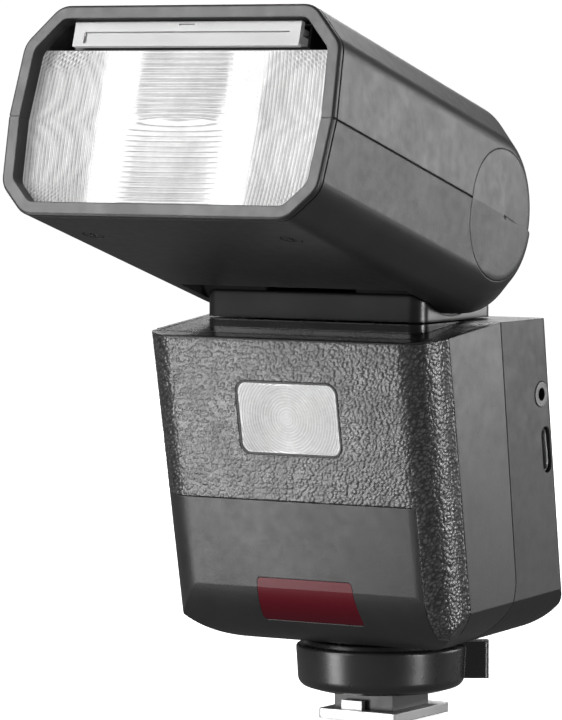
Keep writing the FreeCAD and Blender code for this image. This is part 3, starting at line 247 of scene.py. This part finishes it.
def deep_red(name):
    """Red infrared window, with painted shading: darkest along its lower edge, redder towards its top, and a
    faint painted glow.
    """
    finish = Finish(name)
    height = put(finish.tree, "ShaderNodeSeparateXYZ", {0: finish.place}).outputs["Z"]
    # Painted shade and light: the red is darkest along the lower edge and lighter towards the top.
    painted_shading = finish.stretch(height, WINDOW_LOW * MM, WINDOW_HIGH * MM, 0.0, 1.0)
    colour = finish.blend(painted_shading, (0.030, 0.0006, 0.0035, 1.0), (0.10, 0.001, 0.008, 1.0))
    finish.set(Base_Color=colour, Roughness=0.34, Specular_IOR_Level=0.3)
    # A faint painted red glow.
    finish.set(Emission_Color=(0.30, 0.0, 0.02, 1.0), Emission_Strength=0.06)
    finish.set(Normal=finish.bump(finish.noise(5.0), 0.01))
    return finish.material


def circuit(name):
    """Green board with copper tracks under the lacquer."""
    finish = Finish(name)
    inputs = {"Vector": finish.place, "Scale": 700.0, "Mortar Size": 0.03}
    shades = {"Color1": grey(0.0), "Color2": grey(0.0), "Mortar": WHITE}
    tracks = put(finish.tree, "ShaderNodeTexBrick", {**inputs, **shades}).outputs["Color"]
    colour = finish.blend(tracks, (0.01, 0.07, 0.025, 1.0), (0.05, 0.16, 0.05, 1.0))
    return finish.set(Base_Color=colour, Roughness=0.35, Normal=finish.bump(tracks, 0.03)).material


def wound(name):
    """Enamelled copper wire, wound side by side."""
    finish = Finish(name)
    wave = put(finish.tree, "ShaderNodeTexWave", {"Vector": finish.place, "Scale": 900.0}).outputs["Fac"]
    colour = finish.blend(wave, (0.20, 0.06, 0.02, 1.0), (0.62, 0.24, 0.10, 1.0))
    return finish.set(Base_Color=colour, Metallic=0.8, Roughness=0.3, Normal=finish.bump(wave, 0.06)).material


def wrapped(name, colour):
    """Shrink sleeve of a cell or capacitor, faintly wrinkled."""
    finish = Finish(name)
    folds = finish.noise(3.0, 3.0, (1.0, 1.0, 0.25))
    shade = finish.blend(folds, colour, tuple(0.8 * part for part in colour[:3]) + (1.0,))
    return finish.set(Base_Color=shade, Roughness=0.25, Normal=finish.bump(folds, 0.08)).material


def screen(name):
    """Pale liquid-crystal panel with rows of plain dark bars."""
    finish = Finish(name)
    upright = (math.pi / 2, 0.0, 0.0)
    turned = put(finish.tree, "ShaderNodeMapping", {"Vector": finish.place, "Rotation": upright})
    inputs = {"Vector": turned.outputs[0], "Scale": 55.0, "Mortar Size": 0.045, "Bias": -0.2}
    shades = {"Color1": (0.36, 0.42, 0.38, 1.0), "Color2": (0.07, 0.09, 0.10, 1.0)}
    shades["Mortar"] = (0.42, 0.48, 0.43, 1.0)
    bars = put(finish.tree, "ShaderNodeTexBrick", {**inputs, **shades}).outputs["Color"]
    return finish.set(Base_Color=bars, Roughness=0.3).material


FINISHES = {
    "shell_plastic": plastic("shell_plastic", 0.022, 0.40),
    "cap_plastic": plastic("cap_plastic", 0.020, 0.40),
    "neck_plastic": plastic("neck_plastic", 0.012, 0.30, depth=0.003, edge=0.6),
    "case_plastic": plastic("case_plastic", 0.020, 0.38),
    "rear_plastic": plastic("rear_plastic", 0.012, 0.46),
    "grained_skin": leather("grained_skin"),
    "gloss_black": plastic("gloss_black", 0.008, 0.26, depth=0.0006, wear=0.1),
    "ring_plastic": plastic("ring_plastic", 0.020, 0.28, depth=0.002),
    "shoe_plastic": plastic("shoe_plastic", 0.014, 0.36, depth=0.003),
    "inner_plastic": plastic("inner_plastic", 0.012, 0.45),
    "switch_plastic": plastic("switch_plastic", 0.024, 0.36),
    "dial_plastic": plastic("dial_plastic", 0.020, 0.32, depth=0.004),
    "button_rubber": plastic("button_rubber", 0.030, 0.62, grain=0.2),
    "socket_plastic": plastic("socket_plastic", 0.010, 0.3, depth=0.002),
    "white_plastic": plastic("white_plastic", 0.80, 0.35, wear=0.0),
    "white_card": plastic("white_card", 0.82, 0.5, wear=0.0),
    "display_panel": screen("display_panel"),
    "reflector_metal": mirror("reflector_metal"),
    # The lens finish: a painted glow of strength 0.44, and painted shade of 0.10 in the valleys between the
    # ribs.
    "clear_lens": ribbed_lens("clear_lens", 0.44, 0.10, 0.25),
    # The clear panel's glow of 0.10 is painted light; the panel is no lamp.
    "clear_panel": clear("clear_panel", grey(0.42), 0.2, 0.45, 0.10),
    "red_window": deep_red("red_window"),
    "display_glass": clear("display_glass", grey(0.75), 0.03, 0.9),
    "tube_glass": clear("tube_glass", grey(0.95), 0.05, 0.6),
    "ready_lens": clear("ready_lens", (0.8, 0.25, 0.05, 1.0), 0.2, 0.4, 0.1),
    "led": clear("led", (1.0, 0.82, 0.35, 1.0), 0.3, 0.1, 0.6),
    "led_red": clear("led_red", (0.6, 0.02, 0.02, 1.0), 0.2, 0.3),
    "steel": brushed("steel", 0.62, 0.28),
    "motor_can": brushed("motor_can", 0.55, 0.35, (14.0, 14.0, 1.0)),
    "black_screws": brushed("black_screws", 0.06, 0.34),
    "foot_screws": brushed("foot_screws", 0.66, 0.25, (6.0, 6.0, 6.0)),
    "foot_metal": brushed("foot_metal", 0.42, 0.38, (12.0, 1.0, 12.0)),
    "socket_metal": brushed("socket_metal", 0.60, 0.30),
    "contact_gold": brushed("contact_gold", 0.85, 0.22, (5.0, 5.0, 5.0), (1.0, 0.74, 0.32)),
    "board": circuit("board"),
    "copper": wound("copper"),
    "battery_wrap": wrapped("battery_wrap", (0.02, 0.10, 0.32, 1.0)),
    "capacitor_sleeve": wrapped("capacitor_sleeve", (0.02, 0.02, 0.025, 1.0)),
}


def dress_frame():
    """Gives every carried-over CAD node the finish of its material slot."""
    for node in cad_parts.values():
        for slot in node.material_slots:
            slot.material = FINISHES[slot.material.name.split(".")[0]]


# ---------------------------------------------------------------- mesh helpers
def mesh_piece(name, points, faces, slot, body, node):
    """A smooth-shaded mesh that stands for a CAD node and moves with its body."""
    mesh = bpy.data.meshes.new(name)
    mesh.from_pydata([tuple(p) for p in points], [], faces)
    mesh.update()
    mesh.polygons.foreach_set("use_smooth", [True] * len(mesh.polygons))
    piece = bpy.data.objects.new(name, mesh)
    bpy.context.scene.collection.objects.link(piece)
    mesh.materials.append(FINISHES[slot])
    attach(piece, body)
    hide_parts(node)
    return piece


def in_local(node, matrix):
    """A CAD node's vertices in a local frame, in millimetres, and a tree for casting rays at them."""
    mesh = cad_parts[node].data
    inverse = matrix.inverted()
    points = [(inverse @ v.co) / MM for v in mesh.vertices]
    return points, BVHTree.FromPolygons(points, [tuple(p.vertices) for p in mesh.polygons])


def half_width(tree, depth, height):
    """Distance from a node's middle to its side wall at one height."""
    hit = tree.ray_cast(Vector((0.0, depth, height)), Vector((1.0, 0.0, 0.0)))
    return hit[0].x if hit[0] else 0.0


def ribbed_plate(name, node, body, matrix, columns, rows, relief):
    """A lens the size of a CAD node, whose front carries a relief of ribs, with a flat back."""
    points, tree = in_local(node, matrix)
    lowest = Vector([min(p[axis] for p in points) for axis in range(3)])
    highest = Vector([max(p[axis] for p in points) for axis in range(3)])
    middle = (lowest.y + highest.y) / 2
    trim = 0.03
    tall = highest.z - lowest.z - 2 * trim
    front, back, valleys = [], [], []
    for row in range(rows + 1):
        z = lowest.z + trim + tall * row / rows
        half = half_width(tree, middle, z)
        for column in range(columns + 1):
            x = half * (2 * column / columns - 1)
            border = min(1.0, (half - abs(x)) / 0.5, (z - lowest.z) / 0.5, (highest.z - z) / 0.5)
            sunk, valley = relief(x, z)
            front.append(Vector((x, lowest.y + sunk * max(border, 0.0), z)))
            back.append(Vector((x, highest.y, z)))
            valleys.append(valley)
    step = columns + 1
    count = len(front)
    faces = []
    for row in range(rows):
        for column in range(columns):
            a = row * step + column
            faces.append((a, a + 1, a + 1 + step, a + step))
            faces.append((count + a, count + a + step, count + a + 1 + step, count + a + 1))
    rim = list(range(step)) + [step * r + columns for r in range(1, rows + 1)]
    rim += [step * rows + c for c in range(columns - 1, -1, -1)] + [step * r for r in range(rows - 1, 0, -1)]
    for here, after in zip(rim, rim[1:] + rim[:1]):
        faces.append((after, here, count + here, count + after))
    placed = [matrix @ (p * MM) for p in front + back]
    piece = mesh_piece(name, placed, faces, "clear_lens", body, node)
    # How deep in a valley each point lies, kept for the finish, which paints shade into the valleys.
    layer = piece.data.attributes.new("valley", "FLOAT", "POINT")
    layer.data.foreach_set("value", valleys + [0.0] * count)
    return piece


def smooth_step(low, high, value):
    """0 below low, 1 above high, and a soft slope between."""
    share = min(max((value - low) / (high - low), 0.0), 1.0)
    return share * share * (3 - 2 * share)


def facet(distance, pitch):
    """Saw-tooth height of a Fresnel rib, from 0 to 1, and how deep in the valley a point is."""
    share = (distance / pitch) % 1.0
    height = share / 0.8 if share < 0.8 else (1.0 - share) / 0.2
    return height, max(0.0, 1.0 - height * 2.6)


def flash_relief(x, z):
    """Ribs of the flash lens: level across the middle, upright at the sides, crossed near the corners."""
    side = smooth_step(15.0, 21.0, abs(x))
    centre = 1.0 - smooth_step(8.0, 13.0, abs(x))
    corner = smooth_step(20.0, 26.0, abs(x)) * smooth_step(10.0, 14.0, abs(z + 1.5))
    bowed = math.sqrt(z * z + (0.10 * x) ** 2)
    level, level_valley = facet(bowed, 1.02)
    upright, upright_valley = facet(abs(x) + 0.004 * z * z, 0.82)
    slant, slant_valley = facet(0.75 * z + 0.6 * abs(x), 0.70)
    height = 0.16 * centre * level + 0.14 * side * upright + 0.10 * corner * slant
    between = (1.0 - side) * (1.0 - centre)
    height += 0.04 * between * slant
    valley = 0.55 * centre * level_valley + 0.75 * side * upright_valley
    valley += 0.8 * corner * slant_valley + 0.22 * between * slant_valley
    return height, min(valley, 1.0)


def lamp_relief(x, z):
    """Concentric rings of the modelling lamp's lens."""
    reach = math.hypot(x + 0.4, z - LAMP_RISE)
    ring, valley = facet(reach, 0.62)
    return 0.13 * ring, 0.5 * valley * smooth_step(0.6, 2.5, reach)


def leather_skin():
    """The grained skin: a fine copy of its CAD node whose outer face is raised into leather grain."""
    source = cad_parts["grip_skin"]
    mesh = source.data.copy()
    piece = bpy.data.objects.new("leather_skin", mesh)
    bpy.context.scene.collection.objects.link(piece)
    weld = piece.modifiers.new("weld", "WELD")
    weld.merge_threshold = 0.00001
    remesh = piece.modifiers.new("remesh", "REMESH")
    remesh.mode = "VOXEL"
    remesh.voxel_size = 0.20 * MM
    remesh.use_smooth_shade = True
    bpy.context.view_layer.update()
    graph = bpy.context.evaluated_depsgraph_get()
    fine = bpy.data.meshes.new_from_object(piece.evaluated_get(graph))
    piece.modifiers.clear()
    piece.data = fine
    raise_grain(fine)
    fine.materials.clear()
    fine.materials.append(FINISHES["grained_skin"])
    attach(piece, "case")
    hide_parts("grip_skin")
    return piece


def grain_height(point):
    """Leather grain at a point given in millimetres, from 0 in a crease to 1 on a ridge."""
    along = 0.80 * point.x + 0.60 * point.z
    across = 0.80 * point.z - 0.60 * point.x
    bent = Vector((along / 1.00, across / 0.62, point.y / 0.8))
    bent += 0.45 * noise.noise_vector(point / 1.3)
    gap = noise.voronoi(bent)[0]
    pebble = min(1.0, (gap[1] - gap[0]) * 2.4)
    return 0.8 * pebble + 0.2 * (0.5 + 0.5 * noise.noise(bent * 2.3))


def raise_grain(mesh):
    """Moves the outward-facing vertices by the leather grain, and keeps its height for the finish."""
    count = len(mesh.vertices)
    co = np.zeros(count * 3)
    mesh.vertices.foreach_get("co", co)
    co = co.reshape(-1, 3)
    normals = np.zeros(count * 3)
    mesh.vertex_normals.foreach_get("vector", normals)
    normals = normals.reshape(-1, 3)
    radial = co - np.array([0.0, 0.005, 0.0])
    radial[:, 2] = 0.0
    radial /= np.linalg.norm(radial, axis=1)[:, None]
    facing = np.clip((normals * radial).sum(axis=1) * 1.6, 0.0, 1.0)
    noise.seed_set(GRAIN_SEED)
    grain = np.array([grain_height(Vector(p) / MM) if f > 0 else 0.5 for p, f in zip(co, facing)])
    co += normals * ((grain - 0.70) * 0.14 * MM * facing)[:, None]
    mesh.vertices.foreach_set("co", co.ravel())
    layer = mesh.attributes.new("grain", "FLOAT", "POINT")
    layer.data.foreach_set("value", grain)
    mesh.update()


# ---------------------------------------------------------------- studio
# Strength of the surroundings as the flash sees them; the camera sees them at full strength.
DIM = 0.14


def floor():
    """A wide pale floor that curves up far behind the flash.

    It catches shadows, but sheds no light on the flash and lets the low lights through."""
    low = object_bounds()[0][2] - 0.0001
    rows = []
    for step in range(25):
        turn = math.pi / 2 * step / 24
        rows.append((3.0 + 1.5 * math.sin(turn), low + 1.5 * (1 - math.cos(turn))))
    profile = [(-4.0, low)] + rows + [(4.5, low + 4.0)]
    points = [(x, y, z) for y, z in profile for x in (-5.0, 5.0)]
    faces = [(2 * i, 2 * i + 1, 2 * i + 3, 2 * i + 2) for i in range(len(profile) - 1)]
    mesh = bpy.data.meshes.new("studio_floor")
    mesh.from_pydata(points, [], faces)
    stage = bpy.data.objects.new("studio_floor", mesh)
    bpy.context.scene.collection.objects.link(stage)
    finish = Finish("studio_paper")
    shade = finish.blend(finish.noise(180.0, 2.0), grey(0.86), grey(0.90))
    seen = put(finish.tree, "ShaderNodeLightPath").outputs["Is Camera Ray"]
    finish.set(Base_Color=shade, Roughness=0.9, Emission_Color=WHITE)
    finish.set(Emission_Strength=finish.stretch(seen, 0.0, 1.0, 0.0, 0.92))
    mesh.materials.append(finish.material)
    stage.visible_diffuse = False
    stage.visible_glossy = False
    stage.visible_transmission = False
    stage.visible_shadow = False


def soft_light(name, place, aim, width, height, power):
    """A large soft box at a place, turned towards a point."""
    lamp = bpy.data.lights.new(name, "AREA")
    lamp.shape = "RECTANGLE"
    lamp.size = width
    lamp.size_y = height
    lamp.energy = power
    holder = bpy.data.objects.new(name, lamp)
    holder.location = place
    holder.rotation_euler = (Vector(aim) - Vector(place)).to_track_quat("-Z", "Y").to_euler()
    bpy.context.scene.collection.objects.link(holder)


def studio():
    """White paper to the camera, dim surroundings to the flash, and soft lights around it."""
    world = bpy.data.worlds.new("studio")
    world.use_nodes = True
    tree = world.node_tree
    seen = put(tree, "ShaderNodeLightPath").outputs["Is Camera Ray"]
    strength = put(tree, "ShaderNodeMapRange", {"Value": seen, "To Min": DIM, "To Max": 1.0})
    tree.links.new(strength.outputs["Result"], tree.nodes["Background"].inputs["Strength"])
    tree.nodes["Background"].inputs["Color"].default_value = WHITE
    bpy.context.scene.world = world
    middle = (0.0, -0.02, 0.09)
    soft_light("key_left", (-0.52, -0.76, 0.50), middle, 0.50, 0.50, 8.6)
    soft_light("strip_right", (0.60, 0.85, 0.16), middle, 0.40, 0.40, 3.2)
    soft_light("low_right", (1.05, -0.13, 0.02), middle, 0.20, 0.40, 6.0)
    soft_light("near_leather", (-0.165, -0.235, -0.02), middle, 0.08, 0.08, 0.21)
    soft_light("near_panel", (-0.11, -0.19, -0.04), middle, 0.06, 0.06, 0.055)
    soft_light("back_fill", (-0.35, 0.85, 0.70), middle, 0.50, 0.50, 6.0)
    bpy.context.scene.view_settings.view_transform = "Standard"


def camera():
    """The camera: a long lens a little above the flash, to the right of its front."""
    lens = bpy.data.cameras.new("camera")
    lens.lens = 228.05
    lens.sensor_width = 36.0
    lens.clip_end = 20.0
    right = Vector((0.8510, 0.5252, 0.0))
    back = Vector((0.5242, -0.8493, 0.0628)).normalized()
    up = back.cross(right).normalized()
    right = up.cross(back)
    place = Matrix((right, up, back)).transposed().to_4x4()
    place.translation = Vector((0.4765, -0.8128, 0.1331))
    holder = bpy.data.objects.new("camera", lens)
    holder.matrix_world = place
    bpy.context.scene.collection.objects.link(holder)
    bpy.context.scene.camera = holder


dress_frame()
ribbed_plate("flash_lens", "fresnel_lens", "head", HEAD, 440, 210, flash_relief)
ribbed_plate("modelling_lens", "lamp_lens", "case", FRONT, 190, 120, lamp_relief)
leather_skin()
floor()
studio()
camera()
